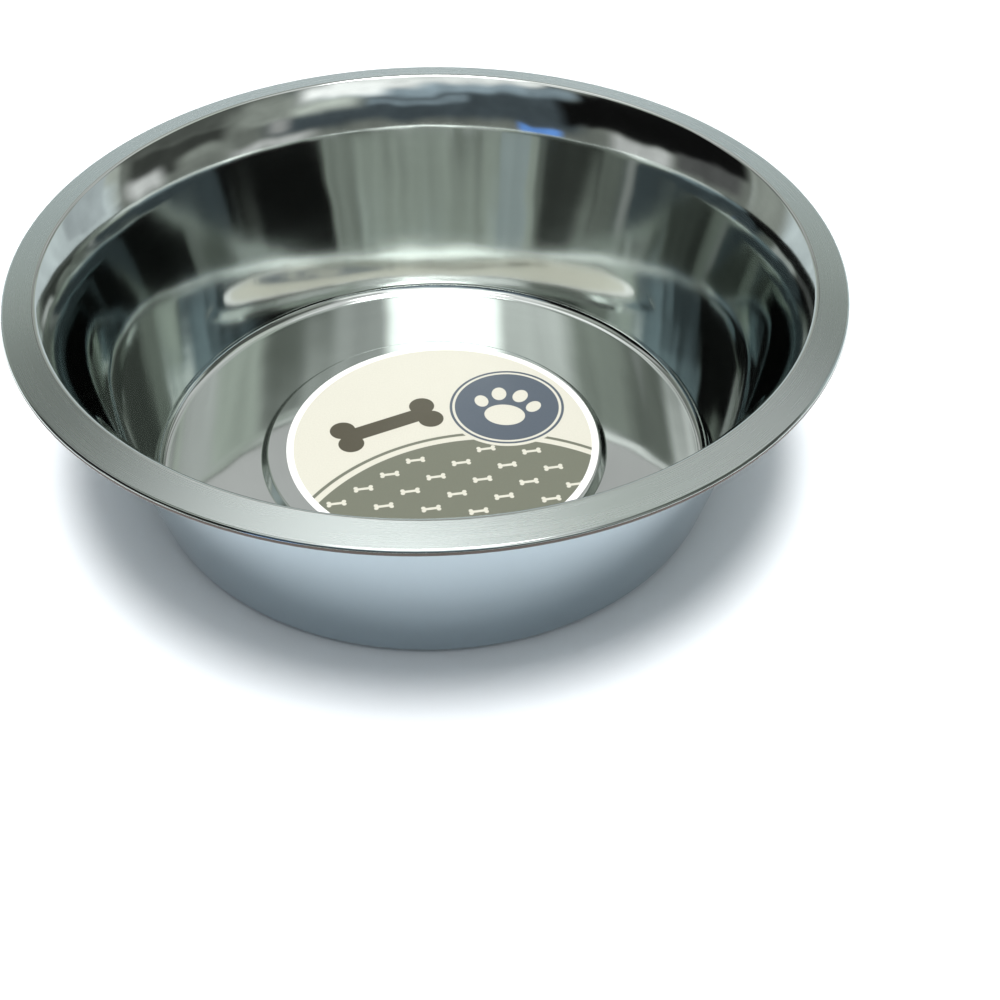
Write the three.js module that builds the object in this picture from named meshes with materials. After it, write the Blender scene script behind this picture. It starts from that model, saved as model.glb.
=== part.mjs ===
// A metal pet bowl: a dish drawn from one steel sheet, and a round label stuck on its raised centre.
// Millimetres, +Z up. The origin is the middle of the foot, on the surface that the bowl stands on.

import * as THREE from 'three';

// The dish, overall
const RIM_RADIUS = 140;
const HEIGHT = 86;
const SHEET = 0.75;

// The rim: from the fold's crest a flange falls outwards and ends in an edge rolled under
const FLANGE_REACH = 10.4;
const FLANGE_SLOPE = 10;
const FOLD_RADIUS = 1.6;
const BEAD_RADIUS = 1.3;
const BEAD_TURN = 200;

// The wall: a rounded corner, a straight leaning stretch, and a flare up to the fold
const WALL_REACH = 31.3;
const CORNER_RADIUS = 4.5;
const FLARE_RADIUS = 46;
const FLARE_LEAN = 40;

// The base: a flat foot ring round a raised centre
const FOOT_WIDTH = 33.5;
const STEP_RISE = 2.6;
const STEP_ANGLE = 50;
const STEP_CREST_RADIUS = 1.2;
const STEP_TOE_RADIUS = 0.8;

// The label, stuck a little off centre
const LABEL_THICKNESS = 0.125;
const LABEL_SHIFT = 3.2;
const LABEL_EDGE_GAP = 0.15;

// How finely round forms are faceted
const SIDES = 64;
const CHORD_ERROR = 0.05;

const radians = THREE.MathUtils.degToRad;
const UP = Math.PI / 2;
const DOWN = -Math.PI / 2;
const INWARDS = Math.PI;

// Where the stretches of the sheet meet, as radii and as heights of its upper face
const mouthRadius = RIM_RADIUS - FLANGE_REACH;
const baseRadius = mouthRadius - WALL_REACH;
const floorHeight = SHEET;
const centreHeight = floorHeight + STEP_RISE;

const stepAngle = radians(STEP_ANGLE);
const stepRadii = STEP_CREST_RADIUS + STEP_TOE_RADIUS;
const stepStraight = (STEP_RISE - stepRadii * (1 - Math.cos(stepAngle))) / Math.sin(stepAngle);
const stepReach = stepRadii * Math.sin(stepAngle) + stepStraight * Math.cos(stepAngle);
const stepToeRadius = baseRadius - FOOT_WIDTH;
const centreRadius = stepToeRadius - stepReach;

// A bend of the sheet about a centre: points on the upper face, each with that face's normal.
// The face is the outside of the bend (bulge 1) or its inside (bulge -1).
function bend(centre, radius, from, to, bulge) {
  const facetAngle = 2 * Math.acos(1 - CHORD_ERROR / radius);
  const facets = Math.max(2, Math.ceil(Math.abs(to - from) / facetAngle));
  const points = [];
  for (let i = 0; i <= facets; i++) {
    const angle = from + ((to - from) * i) / facets;
    const direction = new THREE.Vector2(Math.cos(angle), Math.sin(angle));
    points.push({
      place: direction.clone().multiplyScalar(radius).add(centre),
      normal: direction.clone().multiplyScalar(bulge),
    });
  }
  return points;
}

// The step from the raised centre down to the foot ring
function stepBends() {
  const crest = new THREE.Vector2(centreRadius, centreHeight - STEP_CREST_RADIUS);
  const toe = new THREE.Vector2(stepToeRadius, floorHeight + STEP_TOE_RADIUS);
  return [
    ...bend(crest, STEP_CREST_RADIUS, UP, UP - stepAngle, 1),
    ...bend(toe, STEP_TOE_RADIUS, DOWN - stepAngle, DOWN, -1),
  ];
}

// The corner, the straight wall that touches both the corner and the flare, the flare and the fold
function wallBends() {
  const flareLean = radians(FLARE_LEAN);
  const corner = new THREE.Vector2(baseRadius, floorHeight + CORNER_RADIUS);
  const fold = new THREE.Vector2(mouthRadius, HEIGHT - FOLD_RADIUS);
  const foldToFlare = FLARE_RADIUS - FOLD_RADIUS;
  const flare = new THREE.Vector2(Math.cos(flareLean), -Math.sin(flareLean));
  flare.multiplyScalar(foldToFlare).add(fold);

  const apart = flare.clone().sub(corner);
  const centresLean = Math.atan2(apart.x, apart.y);
  const wallLean = centresLean - Math.asin((CORNER_RADIUS + FLARE_RADIUS) / apart.length());
  return [
    ...bend(corner, CORNER_RADIUS, DOWN, -wallLean, -1),
    ...bend(flare, FLARE_RADIUS, INWARDS - wallLean, INWARDS - flareLean, 1),
    ...bend(fold, FOLD_RADIUS, INWARDS - flareLean, UP - radians(FLANGE_SLOPE), 1).slice(1),
  ];
}

// The edge rolled under at the end of the flange, whose upper face touches both the fold and the bead
function beadBend() {
  const slope = radians(FLANGE_SLOPE);
  const beadRadius = RIM_RADIUS - BEAD_RADIUS;
  const run = beadRadius - mouthRadius;
  const drop = (run * Math.sin(slope) - FOLD_RADIUS + BEAD_RADIUS) / Math.cos(slope);
  const bead = new THREE.Vector2(beadRadius, HEIGHT - FOLD_RADIUS - drop);
  return bend(bead, BEAD_RADIUS, UP - slope, UP - slope - radians(BEAD_TURN), 1);
}

// The whole sheet turned about the axis: out along its lower face, and back along its upper face
function dishGeometry() {
  const onAxis = { place: new THREE.Vector2(0, centreHeight), normal: new THREE.Vector2(0, 1) };
  const sheet = [onAxis, ...stepBends(), ...wallBends(), ...beadBend()];
  const upperFace = sheet.map(({ place }) => place);
  const lowerFace = sheet.map(({ place, normal }) => place.clone().addScaledVector(normal, -SHEET));
  const outline = [...lowerFace, ...upperFace.reverse()];
  return new THREE.LatheGeometry(outline, SIDES).rotateX(UP);
}

// The label is a thin disc whose nearest edge stays on the flat of the raised centre
function labelGeometry() {
  const radius = centreRadius - LABEL_SHIFT - LABEL_EDGE_GAP;
  return new THREE.CylinderGeometry(radius, radius, LABEL_THICKNESS, SIDES).rotateX(UP);
}

function namedMesh(name, geometry, look) {
  const mesh = new THREE.Mesh(geometry, new THREE.MeshStandardMaterial(look));
  mesh.name = name;
  return mesh;
}

const polishedSteel = { color: 0xc6cbce, roughness: 0.18, metalness: 1 };
const printedFilm = { color: 0xe9e6d8, roughness: 0.3, metalness: 0 };

const dish = namedMesh('dish', dishGeometry(), polishedSteel);
const label = namedMesh('label', labelGeometry(), printedFilm);
label.position.set(LABEL_SHIFT, 0, centreHeight + LABEL_THICKNESS / 2);

const bowl = new THREE.Group();
bowl.add(dish, label);

export default bowl;
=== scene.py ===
import math

import bpy
from mathutils import Matrix, Vector


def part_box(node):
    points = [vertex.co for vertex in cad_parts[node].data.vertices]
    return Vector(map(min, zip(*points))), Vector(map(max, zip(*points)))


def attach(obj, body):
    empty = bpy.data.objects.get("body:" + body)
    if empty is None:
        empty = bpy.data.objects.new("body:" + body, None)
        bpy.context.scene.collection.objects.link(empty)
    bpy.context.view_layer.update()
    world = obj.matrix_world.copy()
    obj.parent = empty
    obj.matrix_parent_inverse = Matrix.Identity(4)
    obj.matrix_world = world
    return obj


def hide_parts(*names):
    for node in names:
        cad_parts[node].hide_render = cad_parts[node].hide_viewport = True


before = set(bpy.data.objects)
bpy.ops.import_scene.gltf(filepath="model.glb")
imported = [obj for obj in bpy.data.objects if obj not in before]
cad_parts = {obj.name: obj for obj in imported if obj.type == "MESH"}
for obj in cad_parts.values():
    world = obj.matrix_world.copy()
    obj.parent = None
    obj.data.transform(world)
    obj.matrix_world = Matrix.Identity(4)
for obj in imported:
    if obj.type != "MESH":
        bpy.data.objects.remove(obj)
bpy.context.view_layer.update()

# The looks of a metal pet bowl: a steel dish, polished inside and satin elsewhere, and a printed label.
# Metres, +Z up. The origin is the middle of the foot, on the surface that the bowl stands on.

MM = 0.001
UP = math.pi / 2
DOWN = -math.pi / 2
INWARDS = math.pi

# The dish, overall, and the label's place, from the CAD frame
dish_low, dish_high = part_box("dish")
label_low, label_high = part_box("label")
RIM_RADIUS = (dish_high[0] - dish_low[0]) / 2
HEIGHT = dish_high[2]
LABEL_RADIUS = (label_high[0] - label_low[0]) / 2
LABEL_SHIFT = (label_high[0] + label_low[0]) / 2
LABEL_UNDERSIDE = label_low[2]
LABEL_THICKNESS = label_high[2] - label_low[2]

# The sheet and its bends, the same as in the CAD part
SHEET = 0.75 * MM
FLANGE_REACH = 10.4 * MM
FLANGE_SLOPE = math.radians(10)
FOLD_RADIUS = 1.6 * MM
BEAD_RADIUS = 1.3 * MM
BEAD_TURN = math.radians(200)
WALL_REACH = 31.3 * MM
CORNER_RADIUS = 4.5 * MM
FLARE_RADIUS = 46 * MM
FLARE_LEAN = math.radians(40)
FOOT_WIDTH = 33.5 * MM
STEP_RISE = 2.6 * MM
STEP_ANGLE = math.radians(50)
STEP_CREST_RADIUS = 1.2 * MM
STEP_TOE_RADIUS = 0.8 * MM

# How finely the dish is faceted
BEND_STEP = math.radians(4)
BEND_CHORD = 1 * MM
SIDES = 160

# Where the stretches of the sheet meet, as radii and as heights of its upper face
MOUTH_RADIUS = RIM_RADIUS - FLANGE_REACH
BASE_RADIUS = MOUTH_RADIUS - WALL_REACH
FLOOR_HEIGHT = SHEET
CENTRE_HEIGHT = FLOOR_HEIGHT + STEP_RISE

# Finishes of the dish, in the order of its material slots, and the label's only one
INSIDE, FLANGE, EDGE, PAINTED_SHADE_UNDER, OUTSIDE = range(5)
FILM = 0

# The rolled edge is bright down to where its face leans this little upwards, and below has painted
# shade: a dark colour for the shadow under the edge
PAINTED_SHADE_LEAN = math.radians(18)


def heading(angle):
    """The unit vector at an angle in the plane of the section."""
    return Vector((math.cos(angle), math.sin(angle)))


def bend(centre, radius, start, end, bulge):
    """A bend of the sheet: points on its upper face, each with that face's normal."""
    turn = abs(end - start)
    steps = math.ceil(max(turn / BEND_STEP, turn * radius / BEND_CHORD))
    points = []
    for i in range(steps + 1):
        direction = heading(start + (end - start) * i / steps)
        points.append((centre + radius * direction, bulge * direction))
    return points


def step_bends():
    """The step from the raised centre down to the foot ring."""
    radii = STEP_CREST_RADIUS + STEP_TOE_RADIUS
    straight = (STEP_RISE - radii * (1 - math.cos(STEP_ANGLE))) / math.sin(STEP_ANGLE)
    reach = radii * math.sin(STEP_ANGLE) + straight * math.cos(STEP_ANGLE)
    toe_radius = BASE_RADIUS - FOOT_WIDTH
    crest = Vector((toe_radius - reach, CENTRE_HEIGHT - STEP_CREST_RADIUS))
    toe = Vector((toe_radius, FLOOR_HEIGHT + STEP_TOE_RADIUS))
    crest_bend = bend(crest, STEP_CREST_RADIUS, UP, UP - STEP_ANGLE, 1)
    toe_bend = bend(toe, STEP_TOE_RADIUS, DOWN - STEP_ANGLE, DOWN, -1)
    return crest_bend + toe_bend


def wall_bends():
    """The corner, the leaning wall that touches the corner and the flare, the flare and the fold."""
    corner = Vector((BASE_RADIUS, FLOOR_HEIGHT + CORNER_RADIUS))
    fold = Vector((MOUTH_RADIUS, HEIGHT - FOLD_RADIUS))
    flare = fold + (FLARE_RADIUS - FOLD_RADIUS) * heading(-FLARE_LEAN)
    apart = flare - corner
    lean = math.atan2(apart.x, apart.y) - math.asin((CORNER_RADIUS + FLARE_RADIUS) / apart.length)
    corner_bend = bend(corner, CORNER_RADIUS, DOWN, -lean, -1)
    flare_bend = bend(flare, FLARE_RADIUS, INWARDS - lean, INWARDS - FLARE_LEAN, 1)
    fold_bend = bend(fold, FOLD_RADIUS, INWARDS - FLARE_LEAN, UP - FLANGE_SLOPE, 1)
    return corner_bend + flare_bend + fold_bend[1:]


def bead_bend():
    """The edge rolled under at the end of the flange."""
    bead_radius = RIM_RADIUS - BEAD_RADIUS
    run = bead_radius - MOUTH_RADIUS
    drop = (run * math.sin(FLANGE_SLOPE) - FOLD_RADIUS + BEAD_RADIUS) / math.cos(FLANGE_SLOPE)
    bead = Vector((bead_radius, HEIGHT - FOLD_RADIUS - drop))
    start = UP - FLANGE_SLOPE
    return bend(bead, BEAD_RADIUS, start, start - BEAD_TURN, 1)


def dish_rows():
    """The section, out along the lower face and back above: place, normal, finish up to the next row."""
    centre = [(Vector((0, CENTRE_HEIGHT)), Vector((0, 1)))]
    inside = centre + step_bends() + wall_bends()
    bead = bead_bend()
    rows = [(place - SHEET * normal, -normal, OUTSIDE) for place, normal in inside + bead]
    for place, normal in reversed(bead[1:]):
        # Below this lean the rolled edge gets the painted-shade finish
        bright = normal.y > math.sin(PAINTED_SHADE_LEAN)
        rows.append((place, normal, EDGE if bright else PAINTED_SHADE_UNDER))
    rows.append((*bead[0], FLANGE))
    rows += [(place, normal, INSIDE) for place, normal in reversed(inside)]
    return rows


def label_rows():
    """The label's section, out along its back, up its edge and back along its face."""
    face_height = LABEL_UNDERSIDE + LABEL_THICKNESS
    return [
        (Vector((0, LABEL_UNDERSIDE)), Vector((0, -1)), FILM),
        (Vector((LABEL_RADIUS, LABEL_UNDERSIDE)), Vector((1, 0)), FILM),
        (Vector((LABEL_RADIUS, face_height)), Vector((0, 1)), FILM),
        (Vector((0, face_height)), Vector((0, 1)), FILM),
    ]


def turned_mesh(name, rows, sides):
    """A section turned about the Z axis, smooth, with the section's own normals."""
    places = []
    normals = []
    rings = []
    for place, normal, _ in rows:
        on_axis = place.x == 0
        turns = [0] if on_axis else [2 * math.pi * i / sides for i in range(sides)]
        first = len(places)
        for turn in turns:
            out = heading(turn)
            places.append((place.x * out.x, place.x * out.y, place.y))
            normals.append((normal.x * out.x, normal.x * out.y, normal.y))
        rings.append([first + (0 if on_axis else i % sides) for i in range(sides + 1)])

    faces = []
    finishes = []
    for (here, there), (_, _, finish) in zip(zip(rings, rings[1:]), rows):
        for i in range(sides):
            corners = [here[i], here[i + 1], there[i + 1], there[i]]
            faces.append(list(dict.fromkeys(corners)))
            finishes.append(finish)

    mesh = bpy.data.meshes.new(name)
    mesh.from_pydata(places, [], faces)
    mesh.polygons.foreach_set("material_index", finishes)
    mesh.shade_smooth()
    mesh.normals_split_custom_set_from_vertices(normals)
    return mesh


def piece(name, mesh, materials):
    """A new object with its materials."""
    made = bpy.data.objects.new(name, mesh)
    for material in materials:
        mesh.materials.append(material)
    bpy.context.scene.collection.objects.link(made)
    return made


# Material helpers

def add_node(tree, kind, inputs, **settings):
    """A new node. inputs gives each socket a value or another node's output."""
    made = tree.nodes.new(kind)
    for setting, value in settings.items():
        setattr(made, setting, value)
    for socket, value in inputs.items():
        if isinstance(value, bpy.types.NodeSocket):
            tree.links.new(value, made.inputs[socket])
        else:
            made.inputs[socket].default_value = value
    return made


def calculate(tree, operation, *values):
    """One step of arithmetic on numbers."""
    made = add_node(tree, "ShaderNodeMath", dict(enumerate(values)), operation=operation)
    return made.outputs["Value"]


def reckon(tree, operation, *values):
    """One step of arithmetic on vectors."""
    made = add_node(tree, "ShaderNodeVectorMath", dict(enumerate(values)), operation=operation)
    return made.outputs["Vector"]


def distance(tree, place):
    """How far a place is from its own origin."""
    made = add_node(tree, "ShaderNodeVectorMath", {0: place}, operation="LENGTH")
    return made.outputs["Value"]


def split(tree, vector):
    """The X, Y and Z of a vector."""
    return add_node(tree, "ShaderNodeSeparateXYZ", {0: vector}).outputs


def spread(tree, value, low, high):
    """A value from 0 to 1 spread over a range."""
    made = add_node(tree, "ShaderNodeMapRange", {"Value": value, "To Min": low, "To Max": high})
    return made.outputs["Result"]


def fade(tree, value, half, soft):
    """1 where a value is below half, falling smoothly to 0 about there."""
    limits = {"Value": value, "From Min": half + soft, "From Max": half - soft}
    made = add_node(tree, "ShaderNodeMapRange", limits, interpolation_type="SMOOTHSTEP")
    return made.outputs["Result"]


def blend_numbers(tree, share, under, over):
    """Two numbers mixed by a share."""
    difference = calculate(tree, "SUBTRACT", over, under)
    return calculate(tree, "MULTIPLY_ADD", difference, share, under)


def blend_colours(tree, share, under, over):
    """Two colours mixed by a share."""
    made = add_node(tree, "ShaderNodeMix", {"Factor": share}, data_type="RGBA")
    for socket, colour in ((made.inputs[6], under), (made.inputs[7], over)):
        if isinstance(colour, bpy.types.NodeSocket):
            tree.links.new(colour, socket)
        else:
            socket.default_value = (*colour, 1)
    return made.outputs[2]


def noise(tree, place, scale, detail):
    """Noise from 0 to 1 at a place."""
    inputs = {"Vector": place, "Scale": scale, "Detail": detail}
    return add_node(tree, "ShaderNodeTexNoise", inputs).outputs["Fac"]


def bump(tree, height, depth, under=None):
    """The normal of a surface raised by height times depth."""
    inputs = {"Height": height, "Distance": depth}
    if under:
        inputs["Normal"] = under
    return add_node(tree, "ShaderNodeBump", inputs).outputs["Normal"]


def object_place(tree):
    """The place on the surface, in metres from the object's origin."""
    return add_node(tree, "ShaderNodeTexCoord", {}).outputs["Object"]


def new_material(name):
    """A material with its node tree and its shader."""
    material = bpy.data.materials.new(name)
    material.use_nodes = True
    return material, material.node_tree, material.node_tree.nodes["Principled BSDF"]


# The steel

POLISHED_COLOUR = (0.692, 0.73, 0.708)
SATIN_COLOUR = (0.6, 0.65, 0.635)
# Painted shade: a dark brown for the shadow under the rolled edge
PAINTED_SHADE_COLOUR = (0.13, 0.11, 0.1)
# Painted shade and painted reflection: the outside is the same steel made darker and bluer, for its
# shade and the bluish light it mirrors from the floor
OUTSIDE_SHADE_AND_REFLECTION_COLOUR = (0.49, 0.56, 0.6)

# In the order of the dish's material slots: name, colour, least and most roughness, pitch and depth
# of the polishing lines, depth of the waviness, and anisotropy
STEEL_FINISHES = [
    ("steel_inside", POLISHED_COLOUR, (0.03, 0.095), 0.5 * MM, 0.0003 * MM, 0.4 * MM, 0.9),
    ("steel_flange", SATIN_COLOUR, (0.22, 0.32), 0.25 * MM, 0.001 * MM, 0.02 * MM, 0.5),
    ("steel_edge", SATIN_COLOUR, (0.05, 0.15), 0.3 * MM, 0.0005 * MM, 0, 0),
    # The rolled edge's underside has painted shade: its dark colour stands for the shadow under it
    ("steel_rolled_under_painted_shade", PAINTED_SHADE_COLOUR, (0.25, 0.45), 0.3 * MM, 0.001 * MM, 0, 0),
    # The outside's darker, bluer colour is painted shade and a painted bluish reflection
    ("steel_outside", OUTSIDE_SHADE_AND_REFLECTION_COLOUR, (0.12, 0.22), 0.3 * MM, 0.001 * MM, 0.05 * MM, 0.5),
]

# Polishing lines, and bands of them, run round the axis
LINES_PER_RADIAN = 4
BANDS_PER_RADIAN = 1.5
LINES_ACROSS_BAND = 9
SMUDGES_PER_METRE = 45
WAVES_PER_METRE = 16

# The lines' share of the polishing marks, beside bands, and the marks' share of the wear, beside smudges
LINES_SHARE = 0.6
MARKS_SHARE = 0.7

# How bright the dullest mark is beside the steel's colour
DULLEST_MARK = 0.93

# Highlights stretch across the lines and not along them
HIGHLIGHT_TURN = 0.25


def ring_place(tree, marks_per_radian, pitch):
    """A place for noise whose marks run round the axis and are about one pitch wide."""
    place = object_place(tree)
    flat = reckon(tree, "MULTIPLY", place, (1, 1, 0))
    radius = distance(tree, flat)
    direction = reckon(tree, "NORMALIZE", flat)
    along = reckon(tree, "MULTIPLY", direction, (marks_per_radian, marks_per_radian, 0))
    radius_and_height = calculate(tree, "ADD", radius, split(tree, place)["Z"])
    across = calculate(tree, "DIVIDE", radius_and_height, pitch)
    lift = add_node(tree, "ShaderNodeCombineXYZ", {"Z": across}).outputs["Vector"]
    return reckon(tree, "ADD", along, lift)


def steel(name, colour, roughness, line_pitch, line_depth, wave_depth, anisotropy):
    """Steel with polishing lines round the axis, a slow waviness from drawing, and faint smudges."""
    material, tree, shader = new_material(name)
    place = object_place(tree)
    line_place = ring_place(tree, LINES_PER_RADIAN, line_pitch)
    band_place = ring_place(tree, BANDS_PER_RADIAN, line_pitch * LINES_ACROSS_BAND)
    lines = noise(tree, line_place, scale=1, detail=3)
    bands = noise(tree, band_place, scale=1, detail=2)
    smudges = noise(tree, place, SMUDGES_PER_METRE, detail=3)
    waves = noise(tree, place, WAVES_PER_METRE, detail=2)

    marks = blend_numbers(tree, LINES_SHARE, bands, lines)
    wear = blend_numbers(tree, MARKS_SHARE, smudges, marks)
    tree.links.new(spread(tree, wear, *roughness), shader.inputs["Roughness"])
    dull = tuple(DULLEST_MARK * channel for channel in colour)
    tree.links.new(blend_colours(tree, marks, dull, colour), shader.inputs["Base Color"])

    wavy = bump(tree, waves, wave_depth)
    tree.links.new(bump(tree, marks, line_depth, wavy), shader.inputs["Normal"])
    tangent = add_node(tree, "ShaderNodeTangent", {}, direction_type="RADIAL", axis="Z")
    tree.links.new(tangent.outputs["Tangent"], shader.inputs["Tangent"])
    shader.inputs["Metallic"].default_value = 1
    shader.inputs["Anisotropic"].default_value = anisotropy
    shader.inputs["Anisotropic Rotation"].default_value = HIGHLIGHT_TURN
    return material


# The label's print: a cream field over an olive hill, with bones and a paw medallion

WHITE_INK = (0.84, 0.84, 0.82)
CREAM_INK = (0.6, 0.585, 0.51)
OLIVE_INK = (0.17, 0.178, 0.14)
BROWN_INK = (0.09, 0.083, 0.06)
SLATE_INK = (0.1, 0.12, 0.145)

PRINT_EDGE = 0.12 * MM
BORDER_WIDTH = 2.6 * MM

# Discs printed one on another: radius and ink
HILL_DISCS = [(78 * MM, OLIVE_INK), (76.6 * MM, CREAM_INK), (74 * MM, OLIVE_INK)]
MEDALLION_DISCS = [
    (23.4 * MM, CREAM_INK),
    (22 * MM, SLATE_INK),
    (21 * MM, CREAM_INK),
    (20 * MM, SLATE_INK),
]

# Places of the motifs from the label's middle, their turns in degrees, and their sizes
HILL_PLACE = (16 * MM, -74 * MM)
BONE_PLACE = (-21 * MM, 10 * MM)
BONE_TURN = 24
BONE_LENGTH = 42 * MM
MEDALLION_PLACE = (25 * MM, 19 * MM)
MEDALLION_TURN = -12
PAW_WIDTH = 26 * MM

# The pattern of small bones on the hill
PATTERN_REACH = 69 * MM
PATTERN_SPACING = 12 * MM
PATTERN_TURN = 38
SMALL_BONE_TURN = -30
SMALL_BONE_LENGTH = 7 * MM

# The film's grain, gloss and waviness
GRAINS_PER_METRE = 1800
GRAIN_BRIGHTNESS = (0.9, 1.06)
GLOSS_MARKS_PER_METRE = 260
FILM_ROUGHNESS = (0.28, 0.44)
FILM_WAVES_PER_METRE = 45
FILM_WAVE_DEPTH = 0.05 * MM


def motif_place(tree, place, x, y, turn=0, stretch=1):
    """A place as seen from a motif at x, y, turned by some degrees and stretched along its own Y."""
    inputs = {
        "Vector": place,
        "Location": (x, y, 0),
        "Rotation": (0, 0, math.radians(turn)),
        "Scale": (1, stretch, 1),
    }
    return add_node(tree, "ShaderNodeMapping", inputs, vector_type="TEXTURE").outputs["Vector"]


def disc(tree, place, radius):
    """A printed disc round a motif's own centre."""
    return fade(tree, distance(tree, place), radius, PRINT_EDGE)


def disc_layers(tree, place, discs):
    """Printed discs with their inks."""
    return [(disc(tree, place, radius), ink) for radius, ink in discs]


def joined(tree, shares):
    """Printed shapes joined into one."""
    whole = shares[0]
    for share in shares[1:]:
        whole = calculate(tree, "MAXIMUM", whole, share)
    return whole


def bone(tree, place, length):
    """A bone along a motif's own X: a rod with two round knobs at each end."""
    rod_half_length = 0.38 * length
    rod_half_width = 0.085 * length
    knob_x = 0.39 * length
    knob_y = 0.1 * length
    knob_radius = 0.115 * length
    folded = reckon(tree, "ABSOLUTE", place)
    sides = split(tree, folded)
    along_rod = fade(tree, sides["X"], rod_half_length, PRINT_EDGE)
    across_rod = fade(tree, sides["Y"], rod_half_width, PRINT_EDGE)
    rod = calculate(tree, "MULTIPLY", along_rod, across_rod)
    knob = disc(tree, motif_place(tree, folded, knob_x, knob_y), knob_radius)
    return joined(tree, [rod, knob])


def paw(tree, place, width):
    """A paw print: a wide pad under two pairs of toes."""
    sideways = reckon(tree, "ABSOLUTE", reckon(tree, "MULTIPLY", place, (1, 0, 0)))
    upwards = reckon(tree, "MULTIPLY", place, (0, 1, 0))
    half = reckon(tree, "ADD", sideways, upwards)
    pad_place = motif_place(tree, half, 0, -0.2 * width, stretch=0.78)
    inner_place = motif_place(tree, half, 0.16 * width, 0.27 * width, turn=-10, stretch=1.35)
    outer_place = motif_place(tree, half, 0.39 * width, 0.06 * width, turn=-25, stretch=1.35)
    pad = disc(tree, pad_place, 0.3 * width)
    inner_toes = disc(tree, inner_place, 0.11 * width)
    outer_toes = disc(tree, outer_place, 0.1 * width)
    return joined(tree, [pad, inner_toes, outer_toes])


def small_bones(tree, place):
    """Small bones in slanting rows, whole ones only, within reach of the motif's own centre."""
    half = PATTERN_SPACING / 2
    slanted = motif_place(tree, place, 0, 0, PATTERN_TURN)
    cell_corner = reckon(tree, "SNAP", slanted, (PATTERN_SPACING, PATTERN_SPACING, 1))
    cell_centre = reckon(tree, "ADD", cell_corner, (half, half, 0))
    in_cell = reckon(tree, "SUBTRACT", slanted, cell_centre)
    bones = bone(tree, motif_place(tree, in_cell, 0, 0, SMALL_BONE_TURN), SMALL_BONE_LENGTH)
    return calculate(tree, "MULTIPLY", bones, disc(tree, cell_centre, PATTERN_REACH))


def print_on_label(tree, place):
    """The colour of the print: its layers, the later ones on top, inside a white border."""
    hill_place = motif_place(tree, place, *HILL_PLACE)
    bone_place = motif_place(tree, place, *BONE_PLACE, BONE_TURN)
    medallion_place = motif_place(tree, place, *MEDALLION_PLACE, MEDALLION_TURN)
    layers = [
        *disc_layers(tree, hill_place, HILL_DISCS),
        (small_bones(tree, hill_place), CREAM_INK),
        (bone(tree, bone_place, BONE_LENGTH), BROWN_INK),
        *disc_layers(tree, medallion_place, MEDALLION_DISCS),
        (paw(tree, medallion_place, PAW_WIDTH), CREAM_INK),
    ]
    colour = CREAM_INK
    for share, ink in layers:
        colour = blend_colours(tree, share, colour, ink)
    inside_border = disc(tree, place, LABEL_RADIUS - BORDER_WIDTH)
    return blend_colours(tree, inside_border, WHITE_INK, colour)


def printed_film():
    """Printed film with a fine grain, an uneven gloss and a slight waviness."""
    material, tree, shader = new_material("printed_film")
    place = reckon(tree, "MULTIPLY", object_place(tree), (1, 1, 0))
    grains = noise(tree, place, GRAINS_PER_METRE, detail=2)
    gloss_marks = noise(tree, place, GLOSS_MARKS_PER_METRE, detail=2)
    waves = noise(tree, place, FILM_WAVES_PER_METRE, detail=1)

    brightness = spread(tree, grains, *GRAIN_BRIGHTNESS)
    grained = reckon(tree, "MULTIPLY", print_on_label(tree, place), brightness)
    tree.links.new(grained, shader.inputs["Base Color"])
    tree.links.new(spread(tree, gloss_marks, *FILM_ROUGHNESS), shader.inputs["Roughness"])
    tree.links.new(bump(tree, waves, FILM_WAVE_DEPTH), shader.inputs["Normal"])
    return material


# The pieces

steels = [steel(*finish) for finish in STEEL_FINISHES]
dish = piece("steel_dish", turned_mesh("steel_dish", dish_rows(), SIDES), steels)
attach(dish, "root")
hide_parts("dish")

label = piece("printed_label", turned_mesh("printed_label", label_rows(), SIDES), [printed_film()])
label.location.x = LABEL_SHIFT
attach(label, "root")
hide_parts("label")


# The stage

STAGE_REACH = 8
STAGE_GAP = 0.2 * MM


def stage_floor():
    """A wide pale floor, a hair below the foot."""
    low, high = -STAGE_REACH, STAGE_REACH
    corners = [(low, low, 0), (high, low, 0), (high, high, 0), (low, high, 0)]
    mesh = bpy.data.meshes.new("pale_floor")
    mesh.from_pydata(corners, [], [(0, 1, 2, 3)])
    material, _, shader = new_material("pale_paper")
    shader.inputs["Base Color"].default_value = (0.92, 0.94, 0.96, 1)
    shader.inputs["Roughness"].default_value = 0.8
    shader.inputs["Specular IOR Level"].default_value = 0.1
    made = piece("pale_floor", mesh, [material])
    made.location.z = -STAGE_GAP


# The room that the steel mirrors

def grey(level, tint=(1, 1, 1)):
    """A grey, or a tinted grey, of some radiance."""
    return tuple(level * channel for channel in tint)


GREENISH = (0.95, 1, 0.93)
BLUISH = (0.83, 1, 1.13)
COOL = (0.92, 1, 1.03)
BARE_ROOM = grey(0.22, GREENISH)

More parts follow.
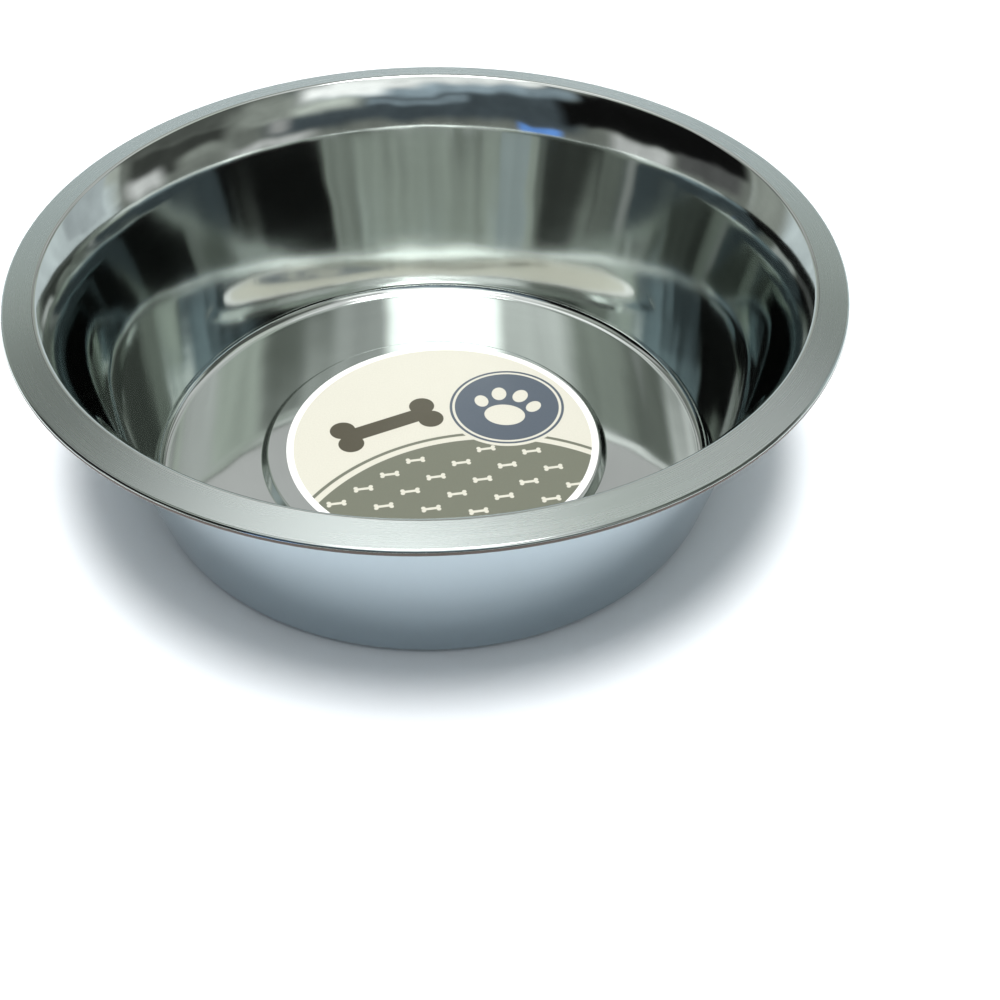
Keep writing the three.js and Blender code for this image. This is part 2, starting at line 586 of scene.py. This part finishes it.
# Panels, the later ones in front: azimuth from +Y towards +X, elevation, width, height and softness of
# the edge in degrees, and radiance
ROOM_PANELS = [
    # The ceiling: pale overhead, with a lamp in its middle, and stretches of other greys lower down
    (0, 90, 400, 50, 6, grey(0.75)),
    (0, 90, 400, 22, 5, grey(8)),
    (46, 57, 68, 18, 5, grey(0.6, GREENISH)),
    (100, 49, 44, 10, 5, grey(0.09, GREENISH)),
    (-97, 57, 66, 18, 8, grey(0.4, GREENISH)),
    (-120, 61, 40, 14, 8, grey(0.95)),
    (140, 61, 30, 12, 6, grey(0.55)),
    # Behind the camera: a dark wall with paler strips, bright patches towards +X, and a low blue window
    (180, 30, 104, 38, 6, grey(0.1, BLUISH)),
    (178, 31, 34, 6, 2, grey(0.28, BLUISH)),
    (180, 43, 76, 12, 4, grey(0.42, BLUISH)),
    (-175, 51, 80, 8, 4, grey(0.95)),
    (151, 45, 30, 12, 5, grey(1.2)),
    (140, 33, 36, 10, 5, grey(0.65, GREENISH)),
    (126, 37, 20, 20, 4, grey(0.33, GREENISH)),
    (132, 21, 7, 12, 3, grey(0.36)),
    (-142, 8, 14, 8, 2, (0.18, 0.36, 0.8)),
    # The left: black screens, with pale patches at their upper corners and a dim and a pale gap below
    (-98, 31, 56, 28, 3, grey(0.01)),
    (-99, 27, 70, 18, 3, grey(0.01)),
    (-134, 42, 18, 8, 3, grey(0.32, BLUISH)),
    (-80, 12, 26, 14, 3, grey(0.12)),
    (-106, 9, 22, 13, 3, grey(0.55)),
    (-64, 45, 18, 10, 3, grey(0.45)),
    # Beyond the bowl: a pale wall, brighter low down, dim at its left end, with a strip at its right
    # end and pale patches above it
    (5, 19, 134, 26, 1.5, grey(0.46, GREENISH)),
    (5, 9, 130, 26, 4, grey(0.62, COOL)),
    (-54, 16, 16, 34, 3, grey(0.34, GREENISH)),
    (57, 19, 18, 26, 1, (0.46, 0.5, 0.52)),
    (0, 41, 36, 14, 3, grey(0.5)),
    (38, 48, 26, 20, 4, grey(0.6)),
    # The right: dark screens with pale gaps
    (94, 22, 36, 22, 3, grey(0.07, GREENISH)),
    (85, 40, 50, 14, 4, grey(0.12, GREENISH)),
    (105, 15, 18, 10, 4, grey(0.3, GREENISH)),
    (82, 10, 14, 11, 4, grey(0.65)),
    (130, 7, 28, 8, 4, grey(0.55)),
    # The lamps: a pale one beyond the bowl, and a softbox above the camera
    (-22, 55, 32, 12, 5, grey(0.8)),
    (-26, 66, 38, 14, 4, grey(1.2)),
    (-172, 66, 66, 18, 5, grey(1.9)),
    (-172, 68, 50, 12, 4, grey(2.6)),
]

# The panels' edges drift up and down by a noise, and upright marks make their radiance uneven
DRIFT_SCALE = (4, 4, 1)
DRIFT_SPAN = 0.3
UPRIGHT_MARKS_SCALE = (9, 9, 2)
UNEVENNESS = (0.7, 1.3)


def room_panel(tree, azimuth, elevation, under, panel):
    """The room with one more soft-edged panel in front of what is there."""
    turn, rise, width, height, soft, radiance = panel
    from_middle = calculate(tree, "SUBTRACT", azimuth, math.radians(turn))
    aside = calculate(tree, "PINGPONG", from_middle, math.pi)
    above = calculate(tree, "ABSOLUTE", calculate(tree, "SUBTRACT", elevation, math.radians(rise)))
    across = fade(tree, aside, math.radians(width / 2), math.radians(soft))
    upright = fade(tree, above, math.radians(height / 2), math.radians(soft))
    return blend_colours(tree, calculate(tree, "MULTIPLY", across, upright), under, radiance)


def studio_world():
    """A room of soft panels for the bowl and the floor, and a plain pale backdrop for the camera."""
    world = bpy.data.worlds.new("studio")
    world.use_nodes = True
    tree = world.node_tree
    tree.nodes.clear()
    way = add_node(tree, "ShaderNodeTexCoord", {}).outputs["Generated"]
    parts = split(tree, way)
    azimuth = calculate(tree, "ARCTAN2", parts["X"], parts["Y"])
    true_elevation = calculate(tree, "ARCSINE", parts["Z"])
    drift = noise(tree, reckon(tree, "MULTIPLY", way, DRIFT_SCALE), scale=1, detail=1)
    centred_drift = calculate(tree, "SUBTRACT", drift, 0.5)
    elevation = calculate(tree, "MULTIPLY_ADD", centred_drift, DRIFT_SPAN, true_elevation)
    room = BARE_ROOM
    for panel in ROOM_PANELS:
        room = room_panel(tree, azimuth, elevation, room, panel)

    marks_place = reckon(tree, "MULTIPLY", way, UPRIGHT_MARKS_SCALE)
    upright_marks = noise(tree, marks_place, scale=1, detail=4)
    unevenness = spread(tree, upright_marks, *UNEVENNESS)
    studio = add_node(tree, "ShaderNodeBackground", {"Color": room, "Strength": unevenness})
    backdrop = add_node(tree, "ShaderNodeBackground", {"Color": (0.95, 0.95, 0.95, 1)})
    seen = add_node(tree, "ShaderNodeLightPath", {}).outputs["Is Camera Ray"]
    inputs = {0: seen, 1: studio.outputs["Background"], 2: backdrop.outputs["Background"]}
    mixed = add_node(tree, "ShaderNodeMixShader", inputs)
    add_node(tree, "ShaderNodeOutputWorld", {"Surface": mixed.outputs["Shader"]})
    return world


def daylight():
    """A soft light from above for the floor and the label, which the steel does not mirror."""
    light = bpy.data.lights.new("daylight", "SUN")
    light.energy = 1.8
    light.angle = math.radians(16)
    made = bpy.data.objects.new("daylight", light)
    made.rotation_euler.x = math.radians(13)
    made.visible_glossy = False
    bpy.context.scene.collection.objects.link(made)


stage_floor()
bpy.context.scene.world = studio_world()
daylight()


# The camera

CAMERA_PLACE = Vector((0, -0.4136, 0.3570))
CAMERA_YAW = math.radians(3.43)
CAMERA_PITCH = math.radians(-42.9)
CAMERA_ROLL = math.radians(0.56)

# In millimetres, as the camera takes them
FOCAL_LENGTH = 52.2
SENSOR_WIDTH = 36

lens = bpy.data.cameras.new("camera")
lens.lens = FOCAL_LENGTH
lens.sensor_width = SENSOR_WIDTH
camera = bpy.data.objects.new("camera", lens)
turn = Matrix.Rotation(-CAMERA_YAW, 4, "Z")
tilt = Matrix.Rotation(math.pi / 2 + CAMERA_PITCH, 4, "X")
lean = Matrix.Rotation(CAMERA_ROLL, 4, "Z")
camera.matrix_world = Matrix.Translation(CAMERA_PLACE) @ turn @ tilt @ lean
bpy.context.scene.collection.objects.link(camera)
bpy.context.scene.camera = camera
bpy.context.scene.view_settings.view_transform = "Standard"
bpy.context.scene.view_settings.look = "Medium High Contrast"
